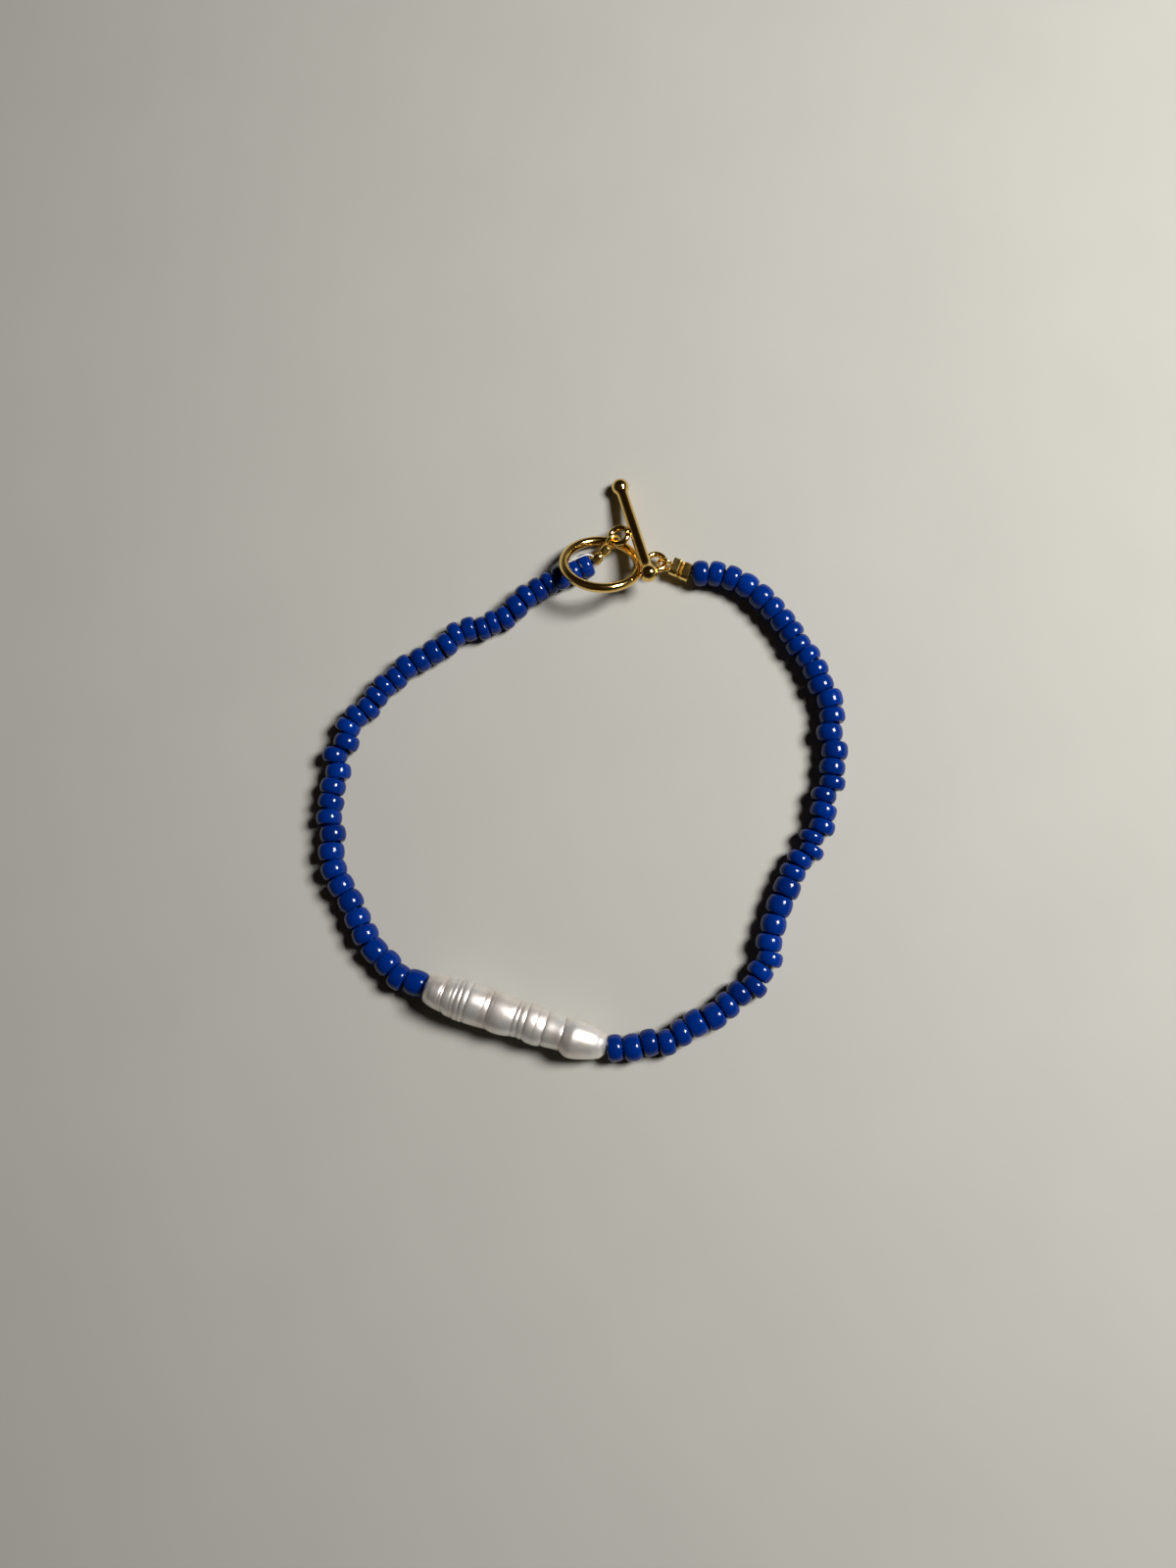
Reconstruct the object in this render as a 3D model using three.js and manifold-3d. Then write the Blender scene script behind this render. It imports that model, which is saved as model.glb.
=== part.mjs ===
// A toggle bracelet lying closed on a flat surface: two strings of glass seed beads, one long
// ringed pearl between them, and a gold-coloured ring and bar that fasten it.
// Millimetres, +Z up. In plan +Y runs from the pearl to the clasp and +X to the right.

import * as THREE from 'three';
import { mergeVertices } from 'three/addons/utils/BufferGeometryUtils.js';
import Module from 'manifold-3d';

const wasm = await Module();
wasm.setup();

// Clearances between neighbouring pieces
const stringGap = 0.3; // string to pearl or cord end, along the thread
const shaftGap = 0.52; // between the bar's shaft and the ring's neck that it lies across

// Seed beads: each kind by its width along the thread and its diameter
const beadKinds = {
  t: { width: 1.4, diameter: 2.9 }, // thin disc
  s: { width: 1.64, diameter: 3.0 }, // slim
  r: { width: 1.85, diameter: 3.05 }, // round
  f: { width: 2.07, diameter: 3.1 }, // full
  b: { width: 2.25, diameter: 3.0 }, // barrel
};
const threadDiameter = 1.5; // thread and the bead ends drawn up round it
const beadSides = 10;

// A bead's outline from one end face: share of its width, share of its radius
const beadOutline = [
  { along: 0.14, out: 0.86 },
  { along: 0.34, out: 1.0 },
  { along: 0.66, out: 1.0 },
  { along: 0.86, out: 0.86 },
];

// Order of the beads, clasp to pearl, and how each is jogged off the line of its string:
// i towards the wrist, o away from it, a capital for the large step, a dot for none
const rightBeads = 'rrrbfrrssrrrfrffrssrsttssfbbrsssrrffrrrfr';
const rightJogs = '........i..io.Io.oI.OiOii....O.Oi.oi.O.o.';
const leftBeads = 'ssstssrsttsssrrrssssssrrrrrrffffbffbfrr';
const leftJogs = '.....o.i.iooi..oi..iooIOio..I.o.i...ioi';
const jogSteps = { '.': 0, i: 0.2, I: 0.45, o: -0.2, O: -0.45 };

// The lie of each string from clasp to pearl; its two ends follow from the pieces it meets
const rightRoute = [
  [16.4, 27.4], [19.7, 25.9], [22.7, 22.9], [24.8, 19.9], [26.6, 17.0], [28.1, 13.7], [29.1, 9.8],
  [29.0, 5.8], [28.6, 2.0], [27.4, -1.9], [26.1, -4.9], [24.4, -7.8], [22.5, -11.7], [21.3, -15.6],
  [20.4, -18.7], [17.9, -21.6], [14.8, -23.8], [11.2, -25.8], [7.8, -26.8], [5.6, -27.2],
];
const leftRoute = [
  [-0.9, 28.2], [-3.7, 27.0], [-6.4, 25.2], [-9.1, 23.0], [-11.9, 21.7], [-14.7, 20.8], [-17.4, 18.9],
  [-20.7, 16.9], [-23.4, 14.8], [-25.2, 12.5], [-27.4, 10.0], [-28.7, 6.8], [-29.1, 3.0], [-29.7, -0.9],
  [-29.3, -5.0], [-28.0, -9.0], [-25.9, -12.9], [-23.9, -16.4], [-21.1, -19.2],
];

// The pearl: its middle, its turn in plan, and its sections as shares of length and width
const pearlLength = 21.9;
const pearlWidth = 4.8;
const pearlMiddle = [-7.75, -24.0];
const pearlTurn = -18.2;
const pearlSides = 14;
const pearlSections = [
  { along: 0.0, wide: 0.3 },
  { along: 0.012, wide: 0.47 },
  { along: 0.038, wide: 0.63 },
  { along: 0.089, wide: 0.74 },
  { along: 0.14, wide: 0.84 },
  { along: 0.148, wide: 0.82 },
  { along: 0.19, wide: 0.95 },
  { along: 0.23, wide: 1.0 },
  { along: 0.262, wide: 0.97 },
  { along: 0.3, wide: 0.94 },
  { along: 0.39, wide: 0.92 },
  { along: 0.52, wide: 0.9 },
  { along: 0.66, wide: 0.84 },
  { along: 0.745, wide: 0.82 },
  { along: 0.766, wide: 0.78 },
  { along: 0.79, wide: 0.88 },
  { along: 0.825, wide: 0.93 },
  { along: 0.865, wide: 0.88 },
  { along: 0.91, wide: 0.76 },
  { along: 0.955, wide: 0.58 },
  { along: 0.985, wide: 0.4 },
  { along: 1.0, wide: 0.26 },
];

// The toggle ring lies with its far rim on the surface, propped up by the left string
const ringDiameter = 8.8; // to the middle of the wire
const ringWire = 1.14;
const ringMiddle = [2.6, 28.6];
const ringTilt = 33; // degrees from flat
const ringLowSide = 77; // bearing of its lowest point, degrees from +X
const ringEyeBearing = 11; // bearing of its soldered eye, degrees from +X
const ringEyeTwist = 20; // how far the soldered eye is turned up out of the ring's plane

// The eyes soldered to the ring and the bar
const eyeDiameter = 2.14; // to the middle of the wire
const eyeWire = 0.7;
const solderOverlap = 0.14;
const ringNeckLength = 0.35;
const ringNeckDiameter = 0.84;

// The toggle bar lies with one ball on the surface and its shaft across the ring's neck
const barBallDiameter = 2.1;
const barShaft = 1.36;
const barBallSpacing = 12.85; // between the middles of its balls
const barCollar = { diameter: 1.55, length: 0.5, flare: 0.04 };
const barHeading = -74; // bearing from the lower ball to the raised one
const barCrossing = 0.826; // share of the spacing at which the shaft crosses the neck
const barEyeDip = 9; // degrees that its eye hangs below level

// The cord ends: a folded crimp with a loop of wire. Turns are about the thread, from level.
const crimp = { length: 2.4, width: 2.1, thickness: 1.3, crease: 0.3, edge: 0.28 };
const loopDiameter = 1.6; // to the middle of the wire
const loopWire = 0.44;
const loopReach = 0.8; // from the crimp's face to the middle of the loop
const rightEnd = { heading: -19, crimpTurn: -10, loopTurn: 116 };
const leftEnd = { heading: 222, crimpTurn: -72, loopTurn: 65 };

// Sides round each section and steps along it
const ringMesh = { sides: 8, steps: 36 };
const eyeMesh = { sides: 6, steps: 16 };
const neckSides = 8;
const rodSides = 12;
const ballSteps = 5; // from a ball's collar to its far point
const mergeDistance = 1e-5;

const radians = THREE.MathUtils.degToRad;
const up = new THREE.Vector3(0, 0, 1);
const beadFlat = Math.cos(Math.PI / beadSides); // middle of a bead's flat side, share of its radius
const stringHeight = (beadKinds.r.diameter / 2) * beadFlat;

// A material by its colour and how rough and how metallic it is
function finish(color, roughness, metalness) {
  return new THREE.MeshStandardMaterial({ color, roughness, metalness });
}

// Each mesh is one closed solid: only positions, with shared vertices merged
function toSolid(geometry) {
  const plain = geometry.clone();
  for (const name of Object.keys(plain.attributes)) {
    if (name !== 'position') plain.deleteAttribute(name);
  }
  const merged = mergeVertices(plain, mergeDistance);
  return new wasm.Manifold(new wasm.Mesh({
    numProp: 3,
    vertProperties: new Float32Array(merged.attributes.position.array),
    triVerts: new Uint32Array(merged.index.array),
  }));
}

function toGeometry(solid) {
  const mesh = solid.getMesh();
  const geometry = new THREE.BufferGeometry();
  geometry.setAttribute('position', new THREE.BufferAttribute(mesh.vertProperties, mesh.numProp));
  geometry.setIndex(new THREE.BufferAttribute(mesh.triVerts, 1));
  geometry.computeVertexNormals();
  return geometry;
}

// Solder pieces into one body
function solder(...pieces) {
  return toGeometry(pieces.map(toSolid).reduce((body, piece) => body.add(piece)));
}

function namedMesh(name, geometry, material) {
  const mesh = new THREE.Mesh(geometry, material);
  mesh.name = name;
  return mesh;
}

// The direction with this bearing in plan and this rise, both in degrees
function direction(bearing, rise = 0) {
  const flat = Math.cos(radians(rise));
  return new THREE.Vector3(
    flat * Math.cos(radians(bearing)), flat * Math.sin(radians(bearing)), Math.sin(radians(rise)));
}

// A turn that takes local x to the first direction and local z as near as it can to the second
function turnTo(along, towards) {
  const x = along.clone().normalize();
  const y = towards.clone().cross(x).normalize();
  return new THREE.Matrix4().makeBasis(x, y, x.clone().cross(y));
}

// The toggle ring: wire ring, short neck and eye, in its own plane with the eye along local x
const ringRadius = ringDiameter / 2;
const ringOutside = ringRadius + ringWire / 2;
const ringEyeAt = ringOutside + ringNeckLength + (eyeDiameter + eyeWire) / 2 - solderOverlap;

// A round of wire, by the diameter to the wire's middle
function wireRound(diameter, wire, { sides, steps }) {
  return new THREE.TorusGeometry(diameter / 2, wire / 2, sides, steps);
}

function toggleRing() {
  const ring = wireRound(ringDiameter, ringWire, ringMesh);
  const eye = wireRound(eyeDiameter, eyeWire, eyeMesh);
  eye.rotateX(radians(ringEyeTwist)).translate(ringEyeAt, 0, 0);
  const neckEnds = [ringRadius, ringEyeAt - eyeDiameter / 2];
  const neck = new THREE.CylinderGeometry(
    ringNeckDiameter / 2, ringNeckDiameter / 2, neckEnds[1] - neckEnds[0], neckSides);
  neck.rotateZ(Math.PI / 2).translate((neckEnds[0] + neckEnds[1]) / 2, 0, 0);
  return solder(ring, neck, eye);
}

const ringNormal = direction(ringLowSide, 90 - ringTilt);
const ringFrame = turnTo(
  direction(ringEyeBearing).projectOnPlane(ringNormal), ringNormal);
ringFrame.setPosition(
  ringMiddle[0], ringMiddle[1], ringRadius * Math.sin(radians(ringTilt)) + ringWire / 2);

// The toggle bar: shaft with a collar and a ball at each end, along local x, and an eye beside
// its middle along local -y
const barEyeAt = (barShaft + eyeDiameter + eyeWire) / 2 - solderOverlap;

function toggleBar() {
  const ball = barBallDiameter / 2;
  const half = barBallSpacing / 2;
  const collarEnd = half - Math.sqrt(ball * ball - (barCollar.diameter / 2) ** 2);
  const ballPoints = [];
  const firstAngle = Math.PI - Math.asin(barCollar.diameter / barBallDiameter);
  for (let step = 0; step < ballSteps; step += 1) {
    const angle = firstAngle * (1 - step / ballSteps);
    ballPoints.push(new THREE.Vector2(ball * Math.sin(angle), half + ball * Math.cos(angle)));
  }
  const upper = [
    new THREE.Vector2(barShaft / 2, collarEnd - barCollar.length),
    new THREE.Vector2(barShaft / 2 + barCollar.flare, collarEnd - barCollar.length / 2),
    ...ballPoints,
    new THREE.Vector2(0, half + ball),
  ];
  const lower = upper.map((point) => new THREE.Vector2(point.x, -point.y)).reverse();
  const rod = new THREE.LatheGeometry([...lower, ...upper], rodSides);
  rod.rotateZ(-Math.PI / 2);
  const eye = wireRound(eyeDiameter, eyeWire, eyeMesh);
  eye.translate(0, -barEyeAt, 0);
  return solder(rod, eye);
}

// The bar's slope follows from the ball on the surface and the shaft clearing the neck
const neckMiddle = new THREE.Vector3(ringOutside + ringNeckLength / 2, 0, 0)
  .applyMatrix4(ringFrame);
const crossing = neckMiddle.clone();
crossing.z += (ringNeckDiameter + barShaft) / 2 + shaftGap;
const barRun = barBallSpacing * barCrossing;
const barRise = THREE.MathUtils.radToDeg(Math.asin((crossing.z - barBallDiameter / 2) / barRun));
const barAlong = direction(barHeading, barRise);
const barMiddle = crossing.clone().addScaledVector(barAlong, barBallSpacing * (0.5 - barCrossing));
const barSide = direction(barHeading - 90, -barEyeDip).projectOnPlane(barAlong).normalize();
const barFrame = turnTo(barAlong, barAlong.clone().cross(barSide).negate());
barFrame.setPosition(barMiddle);

// A cord end: its crimp runs along local x from 0, and its loop lies beyond the crimp's end
function cordEnd({ crimpTurn, loopTurn }) {
  const half = crimp.thickness / 2;
  const side = new THREE.Shape();
  side.moveTo(0, -half + crimp.edge);
  side.lineTo(crimp.edge, -half);
  side.lineTo(crimp.length - crimp.edge, -half);
  side.lineTo(crimp.length, -half + crimp.edge);
  side.lineTo(crimp.length, half - crimp.edge);
  side.lineTo(crimp.length / 2 + crimp.edge / 2, half);
  side.lineTo(crimp.length / 2, half - crimp.crease);
  side.lineTo(crimp.length / 2 - crimp.edge / 2, half);
  side.lineTo(0, half - crimp.edge);
  side.closePath();
  const body = new THREE.ExtrudeGeometry(side, { depth: crimp.width, bevelEnabled: false });
  body.translate(0, 0, -crimp.width / 2).rotateX(Math.PI / 2 + radians(crimpTurn));
  const loop = wireRound(loopDiameter, loopWire, eyeMesh);
  loop.rotateX(radians(loopTurn)).translate(crimp.length + loopReach, 0, 0);
  return solder(body, loop);
}

// Where a cord end lies, from the eye that its loop goes round and its heading away from the eye
function cordEndFrame(eyeMiddle, { heading }) {
  const reach = eyeDiameter / 2 + loopReach + crimp.length;
  const fall = THREE.MathUtils.radToDeg(Math.asin((eyeMiddle.z - stringHeight) / reach));
  const away = direction(heading, -fall);
  const frame = turnTo(away.clone().negate(), up);
  frame.setPosition(eyeMiddle.clone().addScaledVector(away, reach));
  return frame;
}

const ringEye = new THREE.Vector3(ringEyeAt, 0, 0).applyMatrix4(ringFrame);
const barEye = new THREE.Vector3(0, -barEyeAt, 0).applyMatrix4(barFrame);
const rightCrimpFrame = cordEndFrame(ringEye, rightEnd);
const leftCrimpFrame = cordEndFrame(barEye, leftEnd);

// The pearl, along local x from 0. A section wide enough rests on the surface, and the narrow
// ones keep to the height of the strings.
function pearlSolid() {
  const sections = pearlSections.map(
    ({ along, wide }) => new THREE.Vector2((wide * pearlWidth) / 2, along * pearlLength));
  const points = [new THREE.Vector2(0, 0), ...sections, new THREE.Vector2(0, pearlLength)];
  const geometry = new THREE.LatheGeometry(points, pearlSides, Math.PI / pearlSides);
  const positions = geometry.attributes.position;
  const flat = Math.cos(Math.PI / pearlSides);
  for (let index = 0; index < positions.count; index += 1) {
    const along = positions.getY(index);
    const height = Math.max(pearlRadius(along / pearlLength) * flat, stringHeight);
    positions.setXYZ(index, along, -positions.getX(index), positions.getZ(index) + height);
  }
  return toGeometry(toSolid(geometry));
}

// The pearl's radius at a share of its length, straight between the sections
function pearlRadius(share) {
  const next = Math.max(1, pearlSections.findIndex(({ along }) => along >= share));
  const [from, to] = [pearlSections[next - 1], pearlSections[next]];
  const part = (share - from.along) / (to.along - from.along);
  return (THREE.MathUtils.lerp(from.wide, to.wide, part) * pearlWidth) / 2;
}

const pearlStart = new THREE.Vector3(...pearlMiddle, 0)
  .addScaledVector(direction(pearlTurn), -pearlLength / 2);
const pearlEnd = new THREE.Vector3(...pearlMiddle, 0)
  .addScaledVector(direction(pearlTurn), pearlLength / 2);

// A string's line in plan, from the cord end's face to the pearl's end
function stringCurve(crimpFrame, { heading }, route, pearlTip, pearlHeading) {
  const first = new THREE.Vector3().setFromMatrixPosition(crimpFrame).setZ(0)
    .addScaledVector(direction(heading), stringGap);
  const last = pearlTip.clone().addScaledVector(direction(pearlHeading), stringGap);
  const middle = route.map(([x, y]) => new THREE.Vector3(x, y, 0));
  return new THREE.CatmullRomCurve3([first, ...middle, last], false, 'centripetal');
}

// The beads that fit on a line, in their order, with the spare length shared between them
function layBeads(length, kinds, jogs, wristSide) {
  const beads = [];
  let used = 0;
  for (let index = 0; used + beadKinds[kinds[index % kinds.length]].width <= length; index += 1) {
    const kind = beadKinds[kinds[index % kinds.length]];
    const jog = jogSteps[jogs[index % jogs.length]] * wristSide;
    beads.push({ ...kind, jog });
    used += kind.width;
  }
  const spare = (length - used) / beads.length;
  let start = 0;
  for (const bead of beads) {
    bead.start = start;
    bead.width += spare;
    start += bead.width;
  }
  return beads;
}

// A string is turned straight, bead after bead on its thread, and then bent along its line
function beadString(curve, kinds, jogs, wristSide) {
  const length = curve.getLength();
  const beads = layBeads(length, kinds, jogs, wristSide);
  const rings = [];
  const addRing = (at, radius, ...owners) => {
    const share = 1 / owners.length;
    const jog = owners.reduce((sum, bead) => sum + bead.jog * share, 0);
    const height = owners.reduce((sum, bead) => sum + (bead.diameter / 2) * beadFlat * share, 0);
    rings.push({ at, radius, jog, height });
  };
  beads.forEach((bead, index) => {
    addRing(bead.start, threadDiameter / 2, bead, beads[Math.max(0, index - 1)]);
    for (const { along, out } of beadOutline) {
      addRing(bead.start + along * bead.width, (out * bead.diameter) / 2, bead);
    }
  });
  addRing(length, threadDiameter / 2, beads.at(-1));
  const points = rings.map(({ radius, at }) => new THREE.Vector2(radius, at));
  points.unshift(new THREE.Vector2(0, 0));
  points.push(new THREE.Vector2(0, length));
  const geometry = new THREE.LatheGeometry(points, beadSides, Math.PI / beadSides);
  const positions = geometry.attributes.position;
  const ringOf = [rings[0], ...rings, rings.at(-1)];
  for (let index = 0; index < positions.count; index += 1) {
    const ring = ringOf[index % ringOf.length];
    const share = ring.at / length;
    const side = curve.getTangentAt(share).cross(up).normalize();
    const point = curve.getPointAt(share)
      .addScaledVector(side, positions.getX(index) + ring.jog)
      .addScaledVector(up, positions.getZ(index) + ring.height);
    positions.setXYZ(index, point.x, point.y, point.z);
  }
  return toGeometry(toSolid(geometry));
}

// The bracelet
const bracelet = new THREE.Group();

function place(name, geometry, material, frame) {
  const mesh = namedMesh(name, geometry, material);
  frame.decompose(mesh.position, mesh.quaternion, mesh.scale);
  bracelet.add(mesh);
}

place('toggle_ring', toggleRing(), finish(0xd9a441, 0.2, 1), ringFrame);
place('toggle_bar', toggleBar(), finish(0xd9a441, 0.2, 1), barFrame);
place('crimp_right', cordEnd(rightEnd), finish(0xcf9a3a, 0.28, 1), rightCrimpFrame);
place('crimp_left', cordEnd(leftEnd), finish(0xcf9a3a, 0.28, 1), leftCrimpFrame);

const pearl = namedMesh('pearl', pearlSolid(), finish(0xe9e4de, 0.25, 0));
pearl.position.copy(pearlStart);
pearl.rotation.z = radians(pearlTurn);
bracelet.add(pearl);

const rightCurve = stringCurve(rightCrimpFrame, rightEnd, rightRoute, pearlEnd, pearlTurn);
const leftCurve = stringCurve(leftCrimpFrame, leftEnd, leftRoute, pearlStart, pearlTurn + 180);
bracelet.add(namedMesh('seed_beads_right',
  beadString(rightCurve, rightBeads, rightJogs, 1), finish(0x12359c, 0.2, 0)));
bracelet.add(namedMesh('seed_beads_left',
  beadString(leftCurve, leftBeads, leftJogs, -1), finish(0x12359c, 0.2, 0)));

// The origin is under the middle of the whole bracelet, on the surface
bracelet.updateMatrixWorld(true);
const bounds = new THREE.Box3().setFromObject(bracelet, true);
const middle = bounds.getCenter(new THREE.Vector3());
bracelet.position.set(-middle.x, -middle.y, -bounds.min.z);

export default bracelet;
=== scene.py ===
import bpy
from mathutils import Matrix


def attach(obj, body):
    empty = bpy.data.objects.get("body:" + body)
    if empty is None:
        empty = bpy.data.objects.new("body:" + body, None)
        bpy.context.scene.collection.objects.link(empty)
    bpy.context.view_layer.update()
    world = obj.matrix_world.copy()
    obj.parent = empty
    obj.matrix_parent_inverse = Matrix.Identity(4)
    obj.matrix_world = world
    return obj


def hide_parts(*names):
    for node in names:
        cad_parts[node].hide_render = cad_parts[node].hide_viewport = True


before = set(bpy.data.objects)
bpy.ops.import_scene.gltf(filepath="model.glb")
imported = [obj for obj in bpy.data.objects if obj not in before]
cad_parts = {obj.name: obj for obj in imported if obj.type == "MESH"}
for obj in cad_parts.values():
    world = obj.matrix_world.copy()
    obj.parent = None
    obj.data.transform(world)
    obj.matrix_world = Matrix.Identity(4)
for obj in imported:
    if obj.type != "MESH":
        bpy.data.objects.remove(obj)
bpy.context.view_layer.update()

import bmesh
import bpy
import numpy as np
from mathutils import Matrix, Vector

# lengths are in mm and angles in degrees up to makePiece; lights and camera are in metres
mm = 0.001
frameShift = np.array([0.226, -5.4876, 0.0])  # from the drawing's own centre to the frame's
up = np.array([0.0, 0.0, 1.0])
flat = np.array([1.0, 1.0, 0.0])


def direction(bearing, rise=0.0):
    # unit vector with this bearing in plan and this rise
    b, r = np.radians(bearing), np.radians(rise)
    return np.array([np.cos(r) * np.cos(b), np.cos(r) * np.sin(b), np.sin(r)])


def unit(vectors):
    return vectors / np.linalg.norm(vectors, axis=-1, keepdims=True)


def turnTo(along, towards):
    # turn with local x on the first direction and local z as near as it goes to the second
    x = unit(along)
    y = unit(np.cross(towards, x))
    return np.stack([x, y, np.cross(x, y)], axis=1)


def roundX(degrees):
    c, s = np.cos(np.radians(degrees)), np.sin(np.radians(degrees))
    return np.array([[1, 0, 0], [0, c, -s], [0, s, c]])


def roundZ(degrees):
    c, s = np.cos(np.radians(degrees)), np.sin(np.radians(degrees))
    return np.array([[c, -s, 0], [s, c, 0], [0, 0, 1]])


def gridFaces(rows, columns, closeRows=False):
    # four corners of every cell of a grid whose last column, and last row if closed, joins its first
    row = np.arange(rows if closeRows else rows - 1)[:, None]
    column = np.arange(columns)[None, :]
    nextRow, nextColumn = (row + 1) % rows, (column + 1) % columns
    corners = (row * columns + column, row * columns + nextColumn,
               nextRow * columns + nextColumn, nextRow * columns + column)
    return np.stack([(c + 0 * row * column).ravel() for c in corners], axis=1)


def capped(points, values=None):
    # grid of rings whose two ends are each closed with one flat face
    rows, columns = points.shape[:2]
    firstRing = np.arange(columns)
    return {"points": points.reshape(-1, 3), "faces": gridFaces(rows, columns),
            "caps": [firstRing[::-1], firstRing + (rows - 1) * columns], "values": values or {}}


def placed(surface, turn, at):
    return {**surface, "points": surface["points"] @ np.asarray(turn).T + np.asarray(at)}


def wireRound(diameter, wire, steps=96, sides=22):
    # torus: a circle of the wire's radius carried round a circle of half the diameter
    u = np.linspace(0, 2 * np.pi, steps, endpoint=False)[:, None]
    v = np.linspace(0, 2 * np.pi, sides, endpoint=False)[None, :]
    out = diameter / 2 + wire / 2 * np.cos(v)
    points = np.stack([out * np.cos(u), out * np.sin(u), wire / 2 * np.sin(v) + 0 * u], axis=-1)
    return {"points": points.reshape(-1, 3), "faces": gridFaces(steps, sides, True),
            "caps": [], "values": {}}


def turned(along, radii, sides):
    # profile spun about local x: the point (along, radius * cos v, radius * sin v)
    v = np.linspace(0, 2 * np.pi, sides, endpoint=False)[None, :]
    x, r = along[:, None], radii[:, None]
    return capped(np.stack([x + 0 * v, r * np.cos(v), r * np.sin(v)], axis=-1))


def tube(path, radius, sides=14):
    # circle carried along a path: each ring stands square to the path's own direction
    ahead = unit(np.gradient(path, axis=0))
    side = unit(np.cross(ahead, up))
    over = np.cross(side, ahead)
    v = np.linspace(0, 2 * np.pi, sides, endpoint=False)[None, :, None]
    ring = np.cos(v) * side[:, None] + np.sin(v) * over[:, None]
    return capped(path[:, None] + radius * ring)


def hermite(at, xs, ys):
    # smooth curve through the points (xs, ys): a cubic between each two, with the slopes of
    # their neighbours
    xs, ys = np.asarray(xs, float), np.asarray(ys, float)
    slopes = np.gradient(ys, xs)
    k = np.clip(np.searchsorted(xs, at, side="right") - 1, 0, len(xs) - 2)
    h = xs[k + 1] - xs[k]
    t = np.clip((at - xs[k]) / h, 0, 1)
    return ((2 * t**3 - 3 * t**2 + 1) * ys[k] + (t**3 - 2 * t**2 + t) * h * slopes[k]
            + (-2 * t**3 + 3 * t**2) * ys[k + 1] + (t**3 - t**2) * h * slopes[k + 1])


def centripetal(points, steps=60):
    # smooth line through points: a cubic between each two, timed by the square root of the
    # distance between them
    p = np.vstack([2 * points[0] - points[1], points, 2 * points[-1] - points[-2]])
    p0, p1, p2, p3 = p[:-3, None], p[1:-2, None], p[2:-1, None], p[3:, None]
    d1, d2, d3 = (np.sqrt(np.linalg.norm(b - a, axis=-1, keepdims=True))
                  for a, b in ((p0, p1), (p1, p2), (p2, p3)))
    m1 = ((p1 - p0) / d1 - (p2 - p0) / (d1 + d2) + (p2 - p1) / d2) * d2
    m2 = ((p2 - p1) / d2 - (p3 - p1) / (d2 + d3) + (p3 - p2) / d3) * d2
    t = np.linspace(0, 1, steps, endpoint=False)[None, :, None]
    line = (p1 + m1 * t + (-3 * p1 + 3 * p2 - 2 * m1 - m2) * t**2
            + (2 * p1 - 2 * p2 + m1 + m2) * t**3)
    return np.vstack([line.reshape(-1, points.shape[1]), points[-1]])


def makePiece(name, surfaces, material, nodes=()):
    # several closed surfaces in one mesh, in metres and in the frame, facing outwards
    starts = np.cumsum([0] + [len(s["points"]) for s in surfaces])
    points = (np.vstack([s["points"] for s in surfaces]) + frameShift) * mm
    faces = []
    for surface, start in zip(surfaces, starts):
        faces += (surface["faces"] + start).tolist()
        faces += [(cap + start).tolist() for cap in surface["caps"]]
    mesh = bpy.data.meshes.new(name)
    mesh.from_pydata(points.tolist(), [], faces)
    for key in surfaces[0]["values"]:
        layer = mesh.attributes.new(key, "FLOAT", "POINT")
        values = np.concatenate([s["values"][key] for s in surfaces])
        layer.data.foreach_set("value", values.astype(np.float32))
    work = bmesh.new()
    work.from_mesh(mesh)
    bmesh.ops.recalc_face_normals(work, faces=work.faces)
    work.to_mesh(mesh)
    work.free()
    mesh.shade_smooth()
    mesh.materials.append(material)
    piece = bpy.data.objects.new(name, mesh)
    bpy.context.scene.collection.objects.link(piece)
    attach(piece, "root")
    if nodes:
        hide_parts(*nodes)
    return piece


def newMaterial(name, sockets):
    material = bpy.data.materials.new(name)
    material.use_nodes = True
    shader = material.node_tree.nodes["Principled BSDF"]
    for key, value in sockets.items():
        shader.inputs[key].default_value = value
    return material, material.node_tree.nodes, material.node_tree.links, shader


def addNoise(nodes, links, scale, detail=3.0, roughness=0.5, vector=None):
    noise = nodes.new("ShaderNodeTexNoise")
    noise.inputs["Scale"].default_value = scale
    noise.inputs["Detail"].default_value = detail
    noise.inputs["Roughness"].default_value = roughness
    if vector is None:
        vector = nodes.new("ShaderNodeTexCoord").outputs["Object"]
    links.new(vector, noise.inputs["Vector"])
    return noise.outputs["Fac"]


def addRamp(nodes, links, value, stops):
    ramp = nodes.new("ShaderNodeValToRGB")
    elements = ramp.color_ramp.elements
    while len(elements) < len(stops):
        elements.new(0.5)
    for element, (place, colour) in zip(elements, stops):
        element.position = place
        element.color = (*colour, 1.0)
    links.new(value, ramp.inputs["Fac"])
    return ramp.outputs["Color"]


def addAttribute(nodes, name):
    node = nodes.new("ShaderNodeAttribute")
    node.attribute_name = name
    return node.outputs["Fac"]


def addMix(nodes, links, kind, factor, first, second):
    mix = nodes.new("ShaderNodeMix")
    mix.data_type = "RGBA"
    mix.blend_type = kind
    for value, socket in ((factor, mix.inputs[0]), (first, mix.inputs[6]), (second, mix.inputs[7])):
        if isinstance(value, bpy.types.NodeSocket):
            links.new(value, socket)
        elif isinstance(value, tuple):
            socket.default_value = (*value, 1.0)
        else:
            socket.default_value = value
    return mix.outputs[2]


def addRange(nodes, links, value, low, high):
    node = nodes.new("ShaderNodeMapRange")
    node.inputs["To Min"].default_value = low
    node.inputs["To Max"].default_value = high
    links.new(value, node.inputs["Value"])
    return node.outputs["Result"]


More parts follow.
